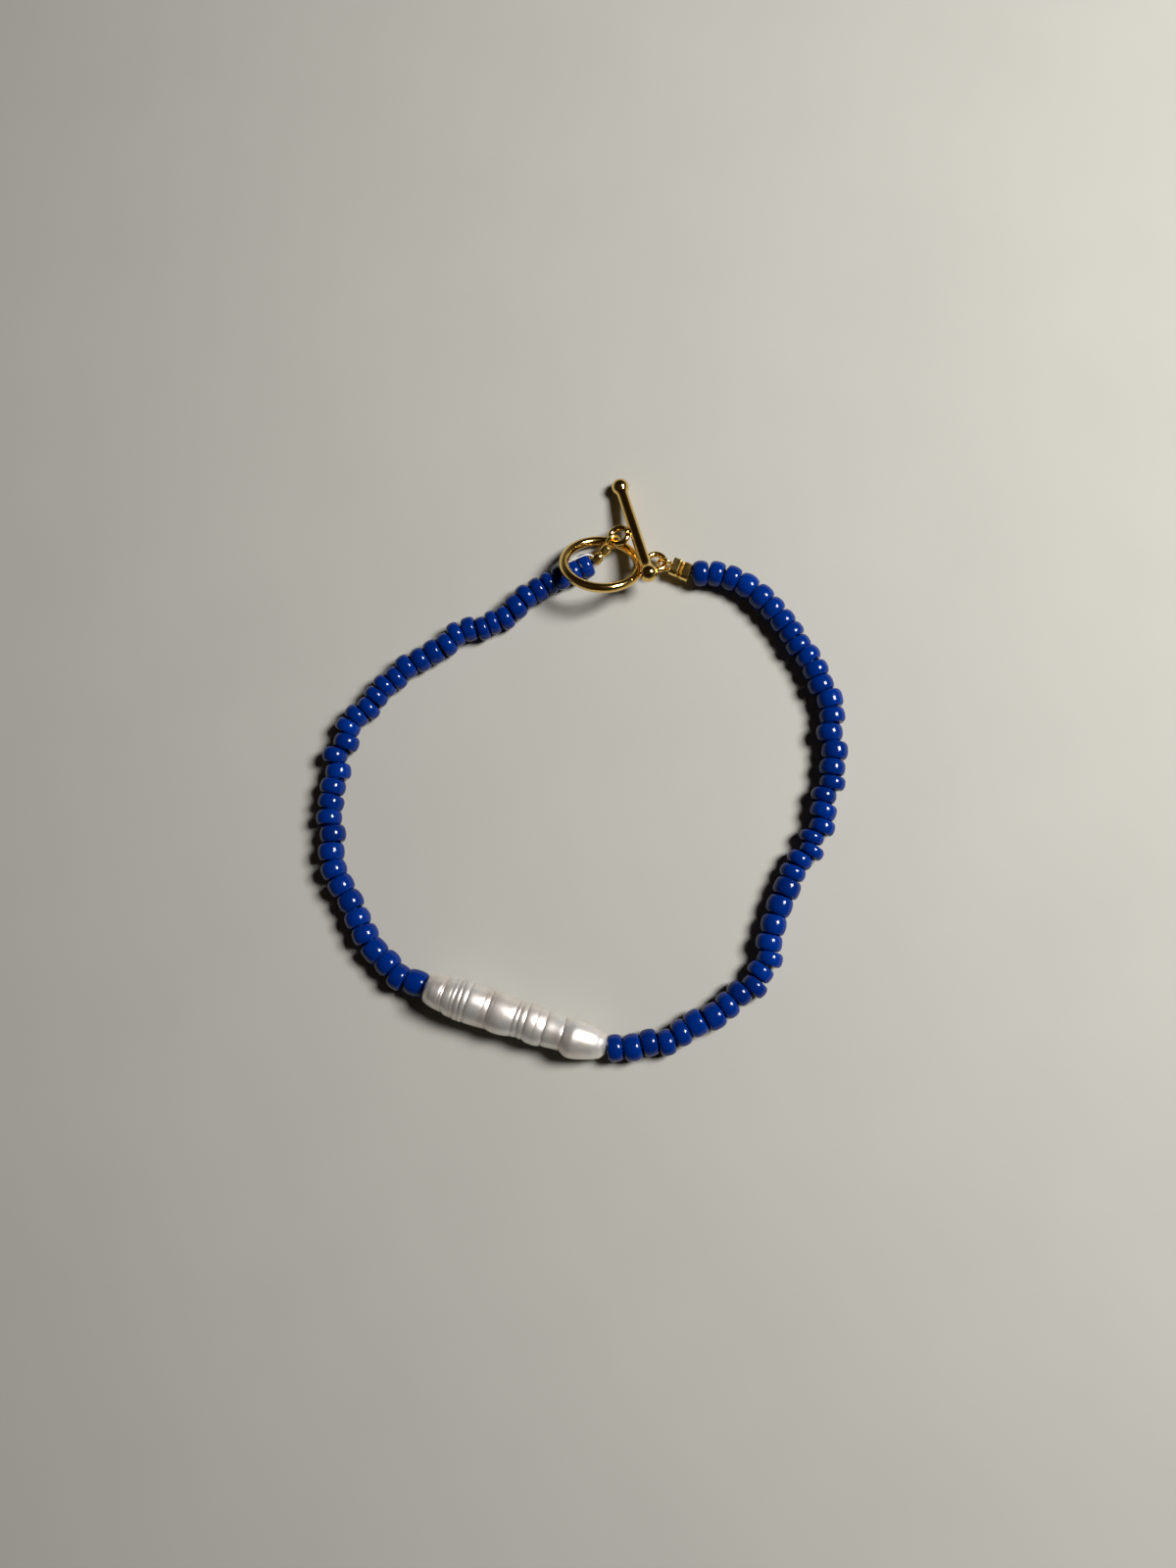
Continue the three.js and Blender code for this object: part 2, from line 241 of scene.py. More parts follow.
def addBump(nodes, links, shader, height, strength, distance, under=None):
    bump = nodes.new("ShaderNodeBump")
    bump.inputs["Strength"].default_value = strength
    bump.inputs["Distance"].default_value = distance
    links.new(height, bump.inputs["Height"])
    if under is not None:
        links.new(under, bump.inputs["Normal"])
    links.new(bump.outputs["Normal"], shader.inputs["Normal"])
    return bump.outputs["Normal"]


def blueGlassMaterial():
    # opaque cobalt glass: each bead has its own tone, with faint clouding and a moulded gloss; its hole
    # and the glass round it are darkened to near-black, which is painted shade
    look = {"dark": (0.0, 0.008, 0.075), "light": (0.0, 0.020, 0.168), "hole": (0.0, 0.002, 0.015),
            "cloudDark": (0.6, 0.6, 0.65), "cloudLight": (1.0, 1.0, 1.0), "clouding": 0.35}
    material, nodes, links, shader = newMaterial("blueGlass", {
        "IOR": 1.45, "Coat Weight": 0.0, "Specular IOR Level": 0.3, "Subsurface Weight": 0.05,
        "Subsurface Scale": 0.0004, "Subsurface Radius": (0.2, 0.4, 1.0)})
    cloud = addNoise(nodes, links, scale=900.0, detail=4.0, roughness=0.6)
    tone = addRamp(nodes, links, addAttribute(nodes, "tone"), [(0.0, look["dark"]), (1.0, look["light"])])
    shade = addRamp(nodes, links, cloud, [(0.3, look["cloudDark"]), (0.7, look["cloudLight"])])
    clouded = addMix(nodes, links, "MULTIPLY", look["clouding"], tone, shade)
    # painted shade: towards the hole the colour goes to the near-black hole colour
    colour = addMix(nodes, links, "MIX", addAttribute(nodes, "inside"), clouded, look["hole"])
    links.new(colour, shader.inputs["Base Color"])
    links.new(addRange(nodes, links, cloud, low=0.09, high=0.17), shader.inputs["Roughness"])
    dents = addNoise(nodes, links, scale=420.0, detail=1.0)
    addBump(nodes, links, shader, dents, strength=0.05, distance=0.00006)
    return material


def nacreMaterial():
    # silver-white with mauve and ivory drifts, with painted shade in its growth rings' valleys, under a
    # clear lustrous skin
    look = {"mauve": (0.66, 0.59, 0.54), "cream": (0.80, 0.76, 0.71), "silver": (0.79, 0.79, 0.78),
            "ivory": (0.85, 0.81, 0.69), "grooveShade": (0.62, 0.55, 0.54)}
    material, nodes, links, shader = newMaterial("nacre", {
        "IOR": 1.6, "Metallic": 0.78, "Coat Weight": 0.25, "Coat Roughness": 0.25,
        "Subsurface Weight": 0.2, "Subsurface Scale": 0.0006, "Subsurface Radius": (1.0, 0.9, 0.75),
        "Sheen Weight": 0.18, "Sheen Roughness": 0.4, "Sheen Tint": (1.0, 0.94, 0.82, 1.0),
        "Thin Film Thickness": 310.0, "Thin Film IOR": 1.38})
    drift = addNoise(nodes, links, scale=170.0, roughness=0.55)
    body = addRamp(nodes, links, drift, [
        (0.30, look["mauve"]), (0.45, look["cream"]), (0.60, look["silver"]), (0.75, look["ivory"])])
    # painted shade: the colour is multiplied towards the groove shade colour by how deep the rings'
    # valleys are
    ringed = addMix(nodes, links, "MULTIPLY", addAttribute(nodes, "grooveShade"), body, look["grooveShade"])
    links.new(ringed, shader.inputs["Base Color"])
    fine = addNoise(nodes, links, scale=2600.0, roughness=0.6)
    links.new(addRange(nodes, links, fine, low=0.33, high=0.46), shader.inputs["Roughness"])
    addBump(nodes, links, shader, fine, strength=0.10, distance=0.00003)
    return material


def goldMaterial(name, colour, roughness, ripples, scuff):
    # plate: mirror-like metal with slow ripples from polishing and hairline scuffs
    material, nodes, links, shader = newMaterial(name, {
        "Metallic": 1.0, "IOR": 1.5, "Coat Weight": 0.0})
    patches = addNoise(nodes, links, scale=700.0, roughness=0.6)
    duller = tuple(0.82 * part for part in colour)
    links.new(addRamp(nodes, links, patches, [(0.3, duller), (0.7, colour)]),
              shader.inputs["Base Color"])
    links.new(addRange(nodes, links, patches, low=roughness * 0.7, high=roughness * 1.5),
              shader.inputs["Roughness"])
    waves = addNoise(nodes, links, scale=600.0, detail=2.0)
    rippled = addBump(nodes, links, shader, waves, strength=ripples, distance=0.00008)
    stretch = nodes.new("ShaderNodeMapping")
    stretch.inputs["Scale"].default_value = (1.0, 9.0, 4.0)
    stretch.inputs["Rotation"].default_value = (0.3, 0.2, 0.7)
    links.new(nodes.new("ShaderNodeTexCoord").outputs["Object"], stretch.inputs["Vector"])
    hairline = addNoise(nodes, links, scale=1500.0, roughness=0.7, vector=stretch.outputs["Vector"])
    addBump(nodes, links, shader, hairline, strength=scuff, distance=0.00002, under=rippled)
    return material


def threadMaterial(name, dark, light, clearness):
    # nylon, slightly cloudy
    material, nodes, links, shader = newMaterial(name, {
        "IOR": 1.53, "Transmission Weight": clearness, "Coat Weight": 0.2})
    cloud = addNoise(nodes, links, scale=1800.0)
    links.new(addRamp(nodes, links, cloud, [(0.3, dark), (0.7, light)]), shader.inputs["Base Color"])
    links.new(addRange(nodes, links, cloud, low=0.15, high=0.3), shader.inputs["Roughness"])
    return material


blueGlass = blueGlassMaterial()
nacre = nacreMaterial()
polishedGold = goldMaterial("polishedGold", (0.94, 0.63, 0.19), roughness=0.11, ripples=0.10, scuff=0.05)
pressedGold = goldMaterial("pressedGold", (0.96, 0.66, 0.20), roughness=0.20, ripples=0.45, scuff=0.16)
clearThread = threadMaterial("clearThread", (0.60, 0.60, 0.64), (0.82, 0.82, 0.85), clearness=0.3)
shadedThread = threadMaterial("shadedThread", (0.07, 0.09, 0.16), (0.16, 0.18, 0.28), clearness=0.1)
print("stage: materials")


# the ring's plane tilts from level, and its eye is twisted further round the neck
ring = {
    "diameter": 8.8, "wire": 1.14, "middle": (2.6, 28.6), "tilt": 33.0, "lowSide": 77.0,
    "eyeBearing": 11.0, "eyeTwist": 20.0, "neckLength": 0.35, "neckDiameter": 0.84, "flare": 0.28,
}
eye = {"diameter": 2.14, "wire": 0.7, "overlap": 0.14}  # the same on the ring and the bar
ringRadius = ring["diameter"] / 2
ringOutside = ringRadius + ring["wire"] / 2
eyeInside = eye["diameter"] / 2
eyeOutside = (eye["diameter"] + eye["wire"]) / 2
ringEyeAt = ringOutside + ring["neckLength"] + eyeOutside - eye["overlap"]


def solderNeck(start, end, diameter, flare):
    # short neck along local x: its radius is half the diameter plus the flare times the cubed
    # distance from its middle, which is 1 at either end, where it runs into the wire
    along = np.linspace(start, end, 24)
    fromMiddle = 2 * np.abs((along - start) / (end - start) - 0.5)
    return turned(along, diameter / 2 + flare * fromMiddle**3, 32)


ringNormal = direction(ring["lowSide"], 90 - ring["tilt"])
eyeWay = direction(ring["eyeBearing"])
ringTurn = turnTo(eyeWay - ringNormal * (eyeWay @ ringNormal), ringNormal)
ringHeight = ringRadius * np.sin(np.radians(ring["tilt"])) + ring["wire"] / 2
ringPlace = np.array([*ring["middle"], ringHeight])
ringEye = placed(wireRound(eye["diameter"], eye["wire"]), roundX(ring["eyeTwist"]), (ringEyeAt, 0, 0))
ringSurfaces = [
    wireRound(ring["diameter"], ring["wire"], 160, 32),
    solderNeck(ringRadius, ringEyeAt - eyeInside, ring["neckDiameter"], ring["flare"]),
    ringEye,
]
makePiece("toggleRing", [placed(s, ringTurn, ringPlace) for s in ringSurfaces],
          polishedGold, ["toggle_ring"])
ringEyePlace = ringTurn @ np.array([ringEyeAt, 0, 0]) + ringPlace
print("stage: toggle ring")


# crossing is the share of the balls' spacing, from the far ball, that the ring's neck lies at
bar = {
    "ball": 2.1, "shaft": 1.36, "spacing": 12.85, "collarDiameter": 1.55, "collarLength": 0.5,
    "heading": -74.0, "crossing": 0.826, "eyeDip": 9.0, "shaftGap": 0.52,
    "neckStart": 0.3, "neckDiameter": 0.95, "neckSink": 0.05, "flare": 0.24,
    "shaftRows": 40, "collarRows": 12, "ballRows": 26,
}
barEyeAt = bar["shaft"] / 2 + eyeOutside - eye["overlap"]


def barSurface():
    # profile along the bar: a circle's arc at each ball, easing through a collar into a
    # straight shaft; the small last angle leaves a tiny flat face at each tip
    ball, shaft, half = bar["ball"] / 2, bar["shaft"] / 2, bar["spacing"] / 2
    neckAngle = np.pi - np.arcsin(bar["collarDiameter"] / bar["ball"])
    angle = np.linspace(neckAngle, 0.02, bar["ballRows"])
    ballAlong, ballRadii = half + ball * np.cos(angle), ball * np.sin(angle)
    part = np.linspace(0, 1, bar["collarRows"], endpoint=False)
    collarAlong = ballAlong[0] - bar["collarLength"] * (1 - part)
    collarRadii = shaft + (bar["collarDiameter"] / 2 - shaft) * part**1.6
    shaftAlong = np.linspace(0, collarAlong[0], bar["shaftRows"], endpoint=False)
    along = np.concatenate([shaftAlong, collarAlong, ballAlong])
    radii = np.concatenate([0 * shaftAlong + shaft, collarRadii, ballRadii])
    mirrored = slice(None, 0, -1)
    return turned(np.concatenate([-along[mirrored], along]),
                  np.concatenate([radii[mirrored], radii]), 48)


# the bar lies across the ring's neck, with its far ball on the surface
neckMiddle = ringTurn @ np.array([ringOutside + ring["neckLength"] / 2, 0, 0]) + ringPlace
crossing = neckMiddle + up * ((ring["neckDiameter"] + bar["shaft"]) / 2 + bar["shaftGap"])
barRun = bar["spacing"] * bar["crossing"]
barRise = np.degrees(np.arcsin((crossing[2] - bar["ball"] / 2) / barRun))
barAlong = direction(bar["heading"], barRise)
barPlace = crossing + barAlong * bar["spacing"] * (0.5 - bar["crossing"])
sideWay = direction(bar["heading"] - 90, -bar["eyeDip"])
barSide = unit(sideWay - barAlong * (sideWay @ barAlong))
barTurn = turnTo(barAlong, -np.cross(barAlong, barSide))
barNeck = solderNeck(bar["neckStart"], barEyeAt - eyeInside + bar["neckSink"],
                     bar["neckDiameter"], bar["flare"])
barSurfaces = [
    barSurface(),
    placed(barNeck, roundZ(-90), (0, 0, 0)),
    placed(wireRound(eye["diameter"], eye["wire"]), np.eye(3), (0, -barEyeAt, 0)),
]
makePiece("toggleBar", [placed(s, barTurn, barPlace) for s in barSurfaces],
          polishedGold, ["toggle_bar"])
barEyePlace = barTurn @ np.array([0, -barEyeAt, 0]) + barPlace
print("stage: toggle bar")


# a cord end is a folded crimp and its loop; height is that of the thread's middle
cordEnds = {
    "length": 2.4, "width": 2.1, "thickness": 1.3, "height": 1.4504,
    "sheet": 0.26, "edge": 0.09, "edgeShare": 0.25,
    "crease": 0.34, "creaseWidth": 0.17, "creaseBelow": 0.55, "creaseNarrows": 0.35,
    "loopDiameter": 1.6, "loopWire": 0.44, "reach": 0.8,
    "right": {"heading": -19.0, "crimpTurn": -10.0, "crimpYaw": -6.0, "loopTurn": 116.0},
    "left": {"heading": 222.0, "crimpTurn": 122.0, "crimpYaw": 0.0, "loopTurn": 65.0},
}


def foldedSheet():
    # section of a sheet folded into a flat C, carried along local x. Both plates pinch in at the
    # crease half way by a bell curve, exp(-(distance / width) squared), and at its two ends the
    # sheet thins to a rounded edge by a quarter circle.
    length, sheet = cordEnds["length"], cordEnds["sheet"] / 2
    half = cordEnds["thickness"] / 2 - sheet
    reach = cordEnds["width"] / 2
    bend = np.radians(np.linspace(90, -90, 22))
    plate = np.linspace(0, 1, 14, endpoint=False)
    top = np.stack([-reach + sheet + plate * (2 * reach - sheet * 2 - half), 0 * plate + half], axis=1)
    fold = np.stack([reach - sheet - half + half * np.cos(bend), half * np.sin(bend)], axis=1)
    middle = np.vstack([top, fold, (top * [1, -1])[::-1]])
    ahead = unit(np.gradient(middle, axis=0))
    out = np.stack([-ahead[:, 1], ahead[:, 0]], axis=1)
    tip = np.linspace(0, np.pi, 7)[1:-1, None]
    lastTip = middle[-1] + sheet * (np.cos(tip) * out[-1] + np.sin(tip) * ahead[-1])
    firstTip = middle[0] - sheet * (np.cos(tip) * out[0] + np.sin(tip) * ahead[0])
    section = np.vstack([middle + sheet * out, lastTip, (middle - sheet * out)[::-1], firstTip])
    core = np.vstack([middle, 0 * lastTip + middle[-1], middle[::-1], 0 * firstTip + middle[0]])
    x = np.concatenate([[0, 0.02, 0.05, cordEnds["edge"]], np.linspace(0.14, 0.96, 60) * length])
    x = np.unique(np.concatenate([x, length - x]))
    inEdge = 1 - np.clip(np.minimum(x, length - x) / cordEnds["edge"], 0, 1)
    thin = cordEnds["edgeShare"] + (1 - cordEnds["edgeShare"]) * np.sqrt(1 - inEdge**2)
    bell = np.exp(-(((x - length / 2) / cordEnds["creaseWidth"])**2))
    pinch = (cordEnds["crease"] * bell)[:, None]
    yz = core[None] + (section - core)[None] * thin[:, None, None]
    lift = np.where(yz[..., 1] > 0, 1.0, cordEnds["creaseBelow"])
    z = yz[..., 1] - np.clip(yz[..., 1] / half, -1, 1) * pinch * lift
    y = yz[..., 0] * (1 - cordEnds["creaseNarrows"] * pinch)
    return capped(np.stack([x[:, None] - length / 2 + 0 * z, y, z], axis=-1))


def cordEnd(name, eyePlace, end, node):
    length, loopAt = cordEnds["length"], cordEnds["length"] + cordEnds["reach"]
    reach = eyeInside + loopAt
    fall = np.degrees(np.arcsin((eyePlace[2] - cordEnds["height"]) / reach))
    away = direction(end["heading"], -fall)
    turn, place = turnTo(-away, up), eyePlace + away * reach
    crimpTurn = roundZ(end["crimpYaw"]) @ roundX(end["crimpTurn"])
    loop = wireRound(cordEnds["loopDiameter"], cordEnds["loopWire"], 72, 18)
    surfaces = [
        placed(foldedSheet(), crimpTurn, (length / 2, 0, 0)),
        placed(loop, roundX(end["loopTurn"]), (loopAt, 0, 0)),
    ]
    makePiece(name, [placed(s, turn, place) for s in surfaces], pressedGold, [node])
    return place


rightFace = cordEnd("cordEndRight", ringEyePlace, cordEnds["right"], "crimp_right")
leftFace = cordEnd("cordEndLeft", barEyePlace, cordEnds["left"], "crimp_left")
print("stage: cord ends")


pearl = {
    "length": 21.74, "middle": (-7.32, -24.14), "turn": -18.2,
    "rows": 460, "endRows": 60, "sides": 112,
    # share of the length from the left end, diameter
    "outline": [
        (0.0, 2.1), (0.005, 2.7), (0.014, 3.05), (0.03, 3.28), (0.059, 3.58), (0.112, 4.12),
        (0.166, 4.6), (0.219, 4.84), (0.272, 4.56), (0.378, 4.46), (0.484, 4.36), (0.59, 4.25),
        (0.697, 4.03), (0.75, 3.92), (0.775, 4.02), (0.801, 4.42), (0.827, 4.5), (0.852, 4.36),
        (0.903, 3.9), (0.954, 3.2), (0.984, 2.5), (1.0, 1.6)],
    # share of the length, thickness from its underside to its top
    "thickness": [
        (0.0, 2.2), (0.005, 3.1), (0.016, 3.85), (0.036, 4.38), (0.08, 4.64), (0.14, 4.72),
        (0.22, 4.76), (0.35, 4.6), (0.5, 4.42), (0.65, 4.22), (0.76, 4.02), (0.79, 4.2),
        (0.82, 4.36), (0.852, 4.26), (0.903, 3.9), (0.954, 3.3), (0.984, 2.6), (1.0, 1.7)],
    # growth rings: share of the length, depth, width
    "rings": [
        (0.048, 0.03, 0.14), (0.108, 0.05, 0.10), (0.124, 0.12, 0.14), (0.164, 0.05, 0.12),
        (0.187, 0.09, 0.11), (0.2, 0.06, 0.09), (0.215, 0.10, 0.12), (0.247, 0.11, 0.16),
        (0.337, 0.03, 0.14), (0.367, 0.07, 0.16), (0.383, 0.03, 0.10), (0.508, 0.07, 0.14),
        (0.535, 0.09, 0.12), (0.565, 0.13, 0.14), (0.62, 0.04, 0.22), (0.671, 0.11, 0.18),
        (0.765, 0.16, 0.14)],
    # ringShadeStrength scales the painted shade in the rings' valleys
    "ringFloor": 0.03, "ringShadeStrength": 7.0,
    # shares where its lobes meet, and how far a lobe crowns for each mm of its length
    "lobes": [0.0, 0.124, 0.187, 0.215, 0.247, 0.367, 0.508, 0.535, 0.565, 0.671, 0.765],
    "crown": 0.028,
    # swellings: height, turns of the wave along and round the pearl, start of the wave
    "swells": [(0.035, 21, 2, 0.6), (0.028, 37, -1, 0.0), (0.02, 9, 3, 2.0)],
    "sideSwell": (0.05, 31, 1.1), "calmBelow": 1.6,
    "bend": 0.3, "bendFrom": 0.86, "threadHeight": 1.5, "blend": 0.3, "press": 0.03,
}
pearlWay = direction(pearl["turn"])
pearlMiddle = np.array([*pearl["middle"], 0.0])
pearlStart = pearlMiddle - pearlWay * pearl["length"] / 2
pearlEnd = pearlMiddle + pearlWay * pearl["length"] / 2


def growthRings(s, v):
    # a valley at each ring: its depth times exp(-distance / width), rounded at its floor. It
    # wanders a little along the pearl and varies in depth as it goes round.
    valley = np.zeros_like(s + v)
    floor = pearl["ringFloor"]
    for number, (at, depth, width) in enumerate(pearl["rings"]):
        wander = 0.0035 * np.sin(v + 1.9 * number) + 0.0015 * np.sin(2 * v + 0.7 * number)
        away = np.abs(s - at - wander) * pearl["length"]
        around = 0.8 + 0.2 * np.cos(v - 2.3 * number)
        valley += depth * around * np.exp(-(np.sqrt(away**2 + floor**2) - floor) / width)
    return valley


def pearlSurface():
    # oval sections: the outline gives each one its width and the thickness its height. Growth
    # rings go off their radius, and sine waves and a crown of 4 t (1 - t) on each lobe are added,
    # less where the pearl is thin. The middle of a section lies at half its thickness, or at the
    # thread's height where that is more, with a smooth change between the two. The right tip
    # bends aside with the square of its share, and the underside is flat on the surface.
    share = 0.5 - 0.5 * np.cos(np.linspace(0.02, np.pi - 0.02, pearl["endRows"]))
    share = np.unique(np.concatenate([share, np.linspace(0.006, 0.994, pearl["rows"])]))
    s = share[:, None]
    v = np.linspace(0, 2 * np.pi, pearl["sides"], endpoint=False)[None, :]
    wide = hermite(share, *zip(*pearl["outline"]))[:, None] / 2
    high = hermite(share, *zip(*pearl["thickness"]))[:, None] / 2
    valley = growthRings(s, v)
    swell = sum(height * np.sin(alongTurns * s + roundTurns * v + start)
                for height, alongTurns, roundTurns, start in pearl["swells"])
    height, alongTurns, start = pearl["sideSwell"]
    swell = swell + height * np.clip(-np.cos(v), 0, 1) * np.sin(alongTurns * s + start)
    lobes = np.array(pearl["lobes"])
    number = np.clip(np.searchsorted(lobes, share, side="right") - 1, 0, len(lobes) - 2)
    lobe = lobes[number + 1] - lobes[number]
    t = np.clip((share - lobes[number]) / lobe, 0, 1)
    crown = (pearl["crown"] * pearl["length"] * lobe * 4 * t * (1 - t))[:, None]
    change = (swell + crown - valley) * np.minimum(1, wide / pearl["calmBelow"])
    bend = pearl["bend"] * np.clip((s - pearl["bendFrom"]) / (1 - pearl["bendFrom"]), 0, 1)**2
    above, blend = high - pearl["threadHeight"], pearl["blend"]
    centre = (high + pearl["threadHeight"] + np.sqrt(above**2 + blend**2)) / 2 - pearl["press"]
    z = np.maximum(centre + (high + change) * np.sin(v), 0.0)
    x = s * pearl["length"] + 0 * v
    points = np.stack([x, bend + (wide + change) * np.cos(v), z], axis=-1)
    # the grooveShade attribute carries the painted shade of the rings' valleys
    surface = capped(points, {"grooveShade": np.clip(valley * pearl["ringShadeStrength"], 0, 1).ravel()})
    return placed(surface, roundZ(pearl["turn"]), pearlStart)


makePiece("ringedPearl", [pearlSurface()], nacre, ["pearl"])
print("stage: pearl")


seedBeads = {
    # width along the thread and diameter, from thin to wide
    "kinds": {"t": (1.4, 2.9), "s": (1.64, 3.0), "r": (1.85, 3.05),
              "f": (2.07, 3.1), "b": (2.25, 3.0), "w": (2.5, 3.1)},
    # steps off the string's line: i towards the wrist, o away from it
    "jogs": {".": 0.0, "i": 0.2, "I": 0.45, "o": -0.2, "O": -0.45},
    # holeShadeDepth is how far out from the hole the painted shade reaches
    "hole": 0.95, "holeShadeDepth": 0.35, "fill": 0.985, "roundness": 2.2, "gap": 0.3, "tone": 0.62,
    # how much single beads differ, each as the spread of a normal draw
    "lean": 0.07, "nod": 0.04, "roundnessSpread": 0.18, "sizeSpread": 0.008,
    "ovalSpread": 0.007, "slantSpread": 0.02, "taperSpread": 0.015, "toneSpread": 0.16,
    "sides": 30, "section": 22,
}
rightString = {
    "order": "rrrbfrrssrrrfrffrssrsttssfbbrsssrrffrrrfr",
    "jogs": "........i..io.Io.oI.OiOii....O.Oi.oi.O.o.",
    "route": [
        (16.4, 27.4), (19.7, 25.9), (22.7, 22.9), (24.8, 19.9), (26.6, 17.0), (28.1, 13.7),
        (29.1, 9.8), (29.0, 5.8), (28.6, 2.0), (27.4, -1.9), (26.1, -4.9), (24.4, -7.8),
        (22.5, -11.7), (21.3, -15.6), (20.4, -18.7), (17.9, -21.6), (14.8, -23.8), (11.2, -25.8),
        (7.8, -26.8), (5.6, -27.2)],
    "start": rightFace, "heading": cordEnds["right"]["heading"],
    "end": pearlEnd, "endWay": pearlWay, "wristSide": 1.0, "seed": 11,
}
leftString = {
    "order": "ssstssrsttsssrrrssssssrrrrrrffffbffbfrw",
    "jogs": ".....o.i.iooi..oi..iooIOio..I.o.i...io.",
    "route": [
        (-0.9, 28.2), (-3.7, 27.0), (-6.4, 25.2), (-9.1, 23.0), (-11.9, 21.7), (-14.7, 20.8),
        (-17.4, 18.9), (-20.7, 16.9), (-23.4, 14.8), (-25.2, 12.5), (-27.4, 10.0), (-28.7, 6.8),
        (-29.1, 3.0), (-29.7, -0.9), (-29.3, -5.0), (-28.0, -9.0), (-25.9, -12.9), (-23.9, -16.4),
        (-21.1, -19.2)],
    "start": leftFace, "heading": cordEnds["left"]["heading"],
    "end": pearlStart, "endWay": -pearlWay, "wristSide": -1.0, "seed": 23,
}


def layString(string):
    # where each bead sits: its middle, the string's direction there, its width and its diameter.
    # What the widths leave of the line's length is shared between the beads.
    first = string["start"] * flat + direction(string["heading"]) * seedBeads["gap"]
    route = np.array([[x, y, 0.0] for x, y in string["route"]])
    line = centripetal(np.vstack([first, route, string["end"]]))
    run = np.concatenate([[0], np.cumsum(np.linalg.norm(np.diff(line, axis=0), axis=1))])
    width, diameter = np.array([seedBeads["kinds"][kind] for kind in string["order"]]).T
    width = width + (run[-1] - width.sum()) / len(width)
    at = np.cumsum(width) - width / 2
    middle = np.stack([np.interp(at, run, line[:, axis]) for axis in range(3)], axis=1)
    slopes = np.stack([np.gradient(line[:, axis], run) for axis in range(3)], axis=1)
    ahead = unit(np.stack([np.interp(at, run, slopes[:, axis]) for axis in range(3)], axis=1))
    jog = np.array([seedBeads["jogs"][letter] for letter in string["jogs"]]) * string["wristSide"]
    return middle + np.cross(ahead, up) * jog[:, None], ahead, width, diameter


def signedPower(value, power):
    # value raised to 2 / power, with its sign kept
    return np.sign(value) * np.abs(value) ** (2 / power)


def beadSurfaces(string):
    # one bead: a rounded section between its hole and its outside, carried round its own axis.
    # Along the axis it is half the width times the cosine, and outwards it is the middle of the
    # wall plus half the wall times the sine, both raised to 2 / roundness. Each bead leans,
    # tapers and is out of round by its own small amount, and is let down until it touches the
    # surface.
    middle, ahead, width, diameter = layString(string)
    count = len(width)
    chance = np.random.default_rng(string["seed"])

    def spread(size):
        return np.clip(chance.normal(0, size, count), -2 * size, 2 * size)[:, None, None]

    side = np.cross(ahead, up)
    lean, nod = spread(seedBeads["lean"])[:, 0], spread(seedBeads["nod"])[:, 0]
    axis = unit(ahead + side * lean + up * nod)
    across = unit(np.cross(axis, up))
    over = np.cross(across, axis)
    u = np.linspace(0, 2 * np.pi, seedBeads["section"], endpoint=False)[None, :, None]
    v = np.linspace(0, 2 * np.pi, seedBeads["sides"], endpoint=False)[None, None, :]
    w, r, h = width[:, None, None], diameter[:, None, None] / 2, seedBeads["hole"] / 2
    power = seedBeads["roundness"] + spread(seedBeads["roundnessSpread"])
    phase = chance.uniform(0, 2 * np.pi, (count, 1, 1))
    outside = r * (1 + spread(seedBeads["sizeSpread"]))
    outside = outside * (1 + spread(seedBeads["ovalSpread"]) * np.cos(2 * v + phase))
    slant = 1 + spread(seedBeads["slantSpread"]) * np.cos(v - phase)
    along = seedBeads["fill"] * w / 2 * signedPower(np.cos(u), power) * slant
    outward = (outside + h) / 2 + (outside - h) / 2 * signedPower(np.sin(u), power)
    outward = outward * (1 + spread(seedBeads["taperSpread"]) * along / w)
    points = (middle[:, None, None] + axis[:, None, None] * along[..., None]
              + across[:, None, None] * (outward * np.cos(v))[..., None]
              + over[:, None, None] * (outward * np.sin(v))[..., None])
    drop = points[..., 2].min(axis=(1, 2))
    points[..., 2] -= drop[:, None, None]
    tone = np.clip(seedBeads["tone"] + spread(seedBeads["toneSpread"]), 0, 1)
    tone = np.broadcast_to(tone, outward.shape)
    # painted shade for each point: 1 at the hole, falling to 0 at holeShadeDepth out from it
    inside = np.clip(1 - (outward - h) / seedBeads["holeShadeDepth"], 0, 1)
    faces = gridFaces(seedBeads["section"], seedBeads["sides"], True)
    perBead = seedBeads["section"] * seedBeads["sides"]
    faces = (faces[None] + perBead * np.arange(count)[:, None, None]).reshape(-1, 4)
    surface = {"points": points.reshape(-1, 3), "faces": faces, "caps": [],
               "values": {"tone": tone.ravel(), "inside": inside.ravel()}}
    return surface, middle - up * drop[:, None]


rightSurface, rightCentres = beadSurfaces(rightString)
leftSurface, leftCentres = beadSurfaces(leftString)
makePiece("seedBeadsRight", [rightSurface], blueGlass, ["seed_beads_right"])
makePiece("seedBeadsLeft", [leftSurface], blueGlass, ["seed_beads_left"])
print("stage: seed beads")


thread = {
    "diameter": 0.55, "inside": 0.6, "beforePearl": 0.1, "tailDiameter": 0.2,
    # the tail comes out of the left cord end and lies straight across the first beads
    "tail": [(1.95, 29.78, 1.9), (1.5, 29.88, 2.3), (1.1, 29.89, 2.72), (0.6, 29.76, 2.95),
             (-0.2, 29.44, 2.97), (-0.99, 29.13, 2.9), (-1.8, 28.81, 2.62)],
}


def threadThrough(string, centres):
    # a tube through every bead's middle, from inside the cord end to inside the pearl
    face = string["start"] * flat + up * centres[0, 2]
    tip = string["end"] + up * centres[-1, 2]
    begin = [face - direction(string["heading"]) * thread["inside"], face]
    finish = [tip + string["endWay"] * thread["beforePearl"], tip - string["endWay"] * thread["inside"]]
    return tube(centripetal(np.vstack([begin, centres, finish]), 8), thread["diameter"] / 2)


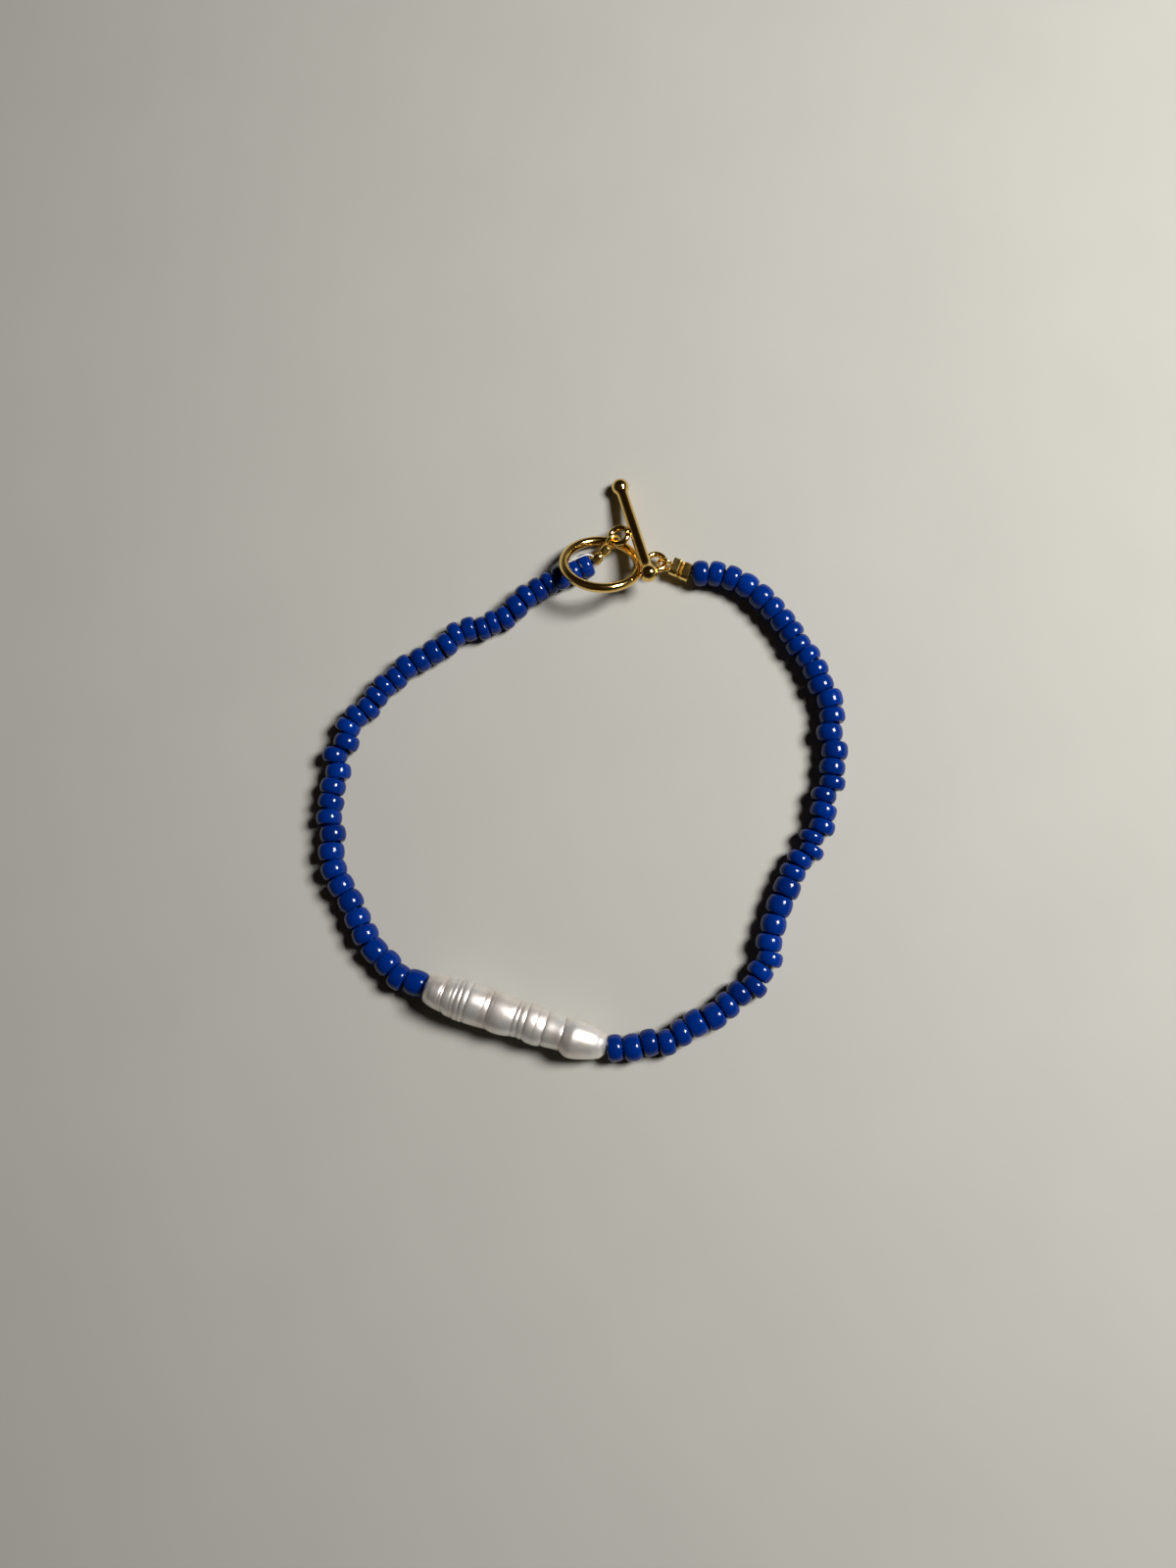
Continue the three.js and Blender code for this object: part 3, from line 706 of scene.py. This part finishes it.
threads = [threadThrough(rightString, rightCentres), threadThrough(leftString, leftCentres)]
makePiece("thread", threads, shadedThread)
tail = tube(centripetal(np.array(thread["tail"]), 14), thread["tailDiameter"] / 2)
makePiece("threadTail", [tail], clearThread)
print("stage: thread")


studio = {
    "floor": (0.345, 0.340, 0.315), "floorDark": 0.97, "floorReach": 0.8,
    # colours of the room by the height of the view direction: a pale wall, a dark ceiling
    "room": [(0.0, (0.13, 0.13, 0.13)), (0.15, (0.065, 0.065, 0.065)), (0.45, (0.0125, 0.0080, 0.0038))],
    "lights": [
        {"name": "keyLight", "bearing": 17.0, "rise": 49.0, "distance": 0.385, "size": 0.115,
         "power": 2.75, "colour": (1.0, 0.98, 0.95)},
        {"name": "fillLight", "bearing": 200.0, "rise": 60.0, "distance": 0.9, "size": 0.8,
         "power": 0.02, "colour": (1.0, 0.97, 0.94)},
    ],
}


def floorPlane():
    # a flat square under everything, in faintly mottled pale paper
    mesh = bpy.data.meshes.new("floor")
    far = studio["floorReach"]
    mesh.from_pydata([(-far, -far, 0), (far, -far, 0), (far, far, 0), (-far, far, 0)], [], [(0, 1, 2, 3)])
    material, nodes, links, shader = newMaterial("floorPaper", {"Roughness": 0.85})
    mottle = addNoise(nodes, links, scale=60.0, detail=2.0)
    darker = tuple(studio["floorDark"] * part for part in studio["floor"])
    links.new(addRamp(nodes, links, mottle, [(0.3, darker), (0.7, studio["floor"])]),
              shader.inputs["Base Color"])
    mesh.materials.append(material)
    floor = bpy.data.objects.new("floor", mesh)
    bpy.context.scene.collection.objects.link(floor)


def areaLight(name, bearing, rise, distance, size, power, colour):
    data = bpy.data.lights.new(name, "AREA")
    data.size, data.energy, data.color = size, power, colour
    light = bpy.data.objects.new(name, data)
    bpy.context.scene.collection.objects.link(light)
    light.location = Vector(direction(bearing, rise) * distance)
    light.rotation_euler = light.location.to_track_quat("Z", "Y").to_euler()


def studioRoom():
    world = bpy.data.worlds.new("studio")
    bpy.context.scene.world = world
    world.use_nodes = True
    nodes, links = world.node_tree.nodes, world.node_tree.links
    split = nodes.new("ShaderNodeSeparateXYZ")
    links.new(nodes.new("ShaderNodeTexCoord").outputs["Generated"], split.inputs["Vector"])
    links.new(addRamp(nodes, links, split.outputs["Z"], studio["room"]),
              nodes["Background"].inputs["Color"])


floorPlane()
for light in studio["lights"]:
    areaLight(**light)
studioRoom()
bpy.context.scene.view_settings.view_transform = "Standard"

view = {
    "position": (0.012886, -0.024668, 0.136), "lens": 27.05,
    # the camera's own right, above and back, as directions in the frame
    "right": (0.99620, 0.0, -0.08705), "above": (0.01381, 0.98734, 0.15806),
    "back": (0.08595, -0.15866, 0.98359),
}
camera = bpy.data.objects.new("camera", bpy.data.cameras.new("camera"))
camera.data.lens = view["lens"]
camera.data.sensor_width = 36.0
camera.data.clip_start = 0.005
camera.matrix_world = Matrix.Translation(view["position"]) @ Matrix(
    (view["right"], view["above"], view["back"])).transposed().to_4x4()
bpy.context.scene.collection.objects.link(camera)
bpy.context.scene.camera = camera
print("stage: studio")
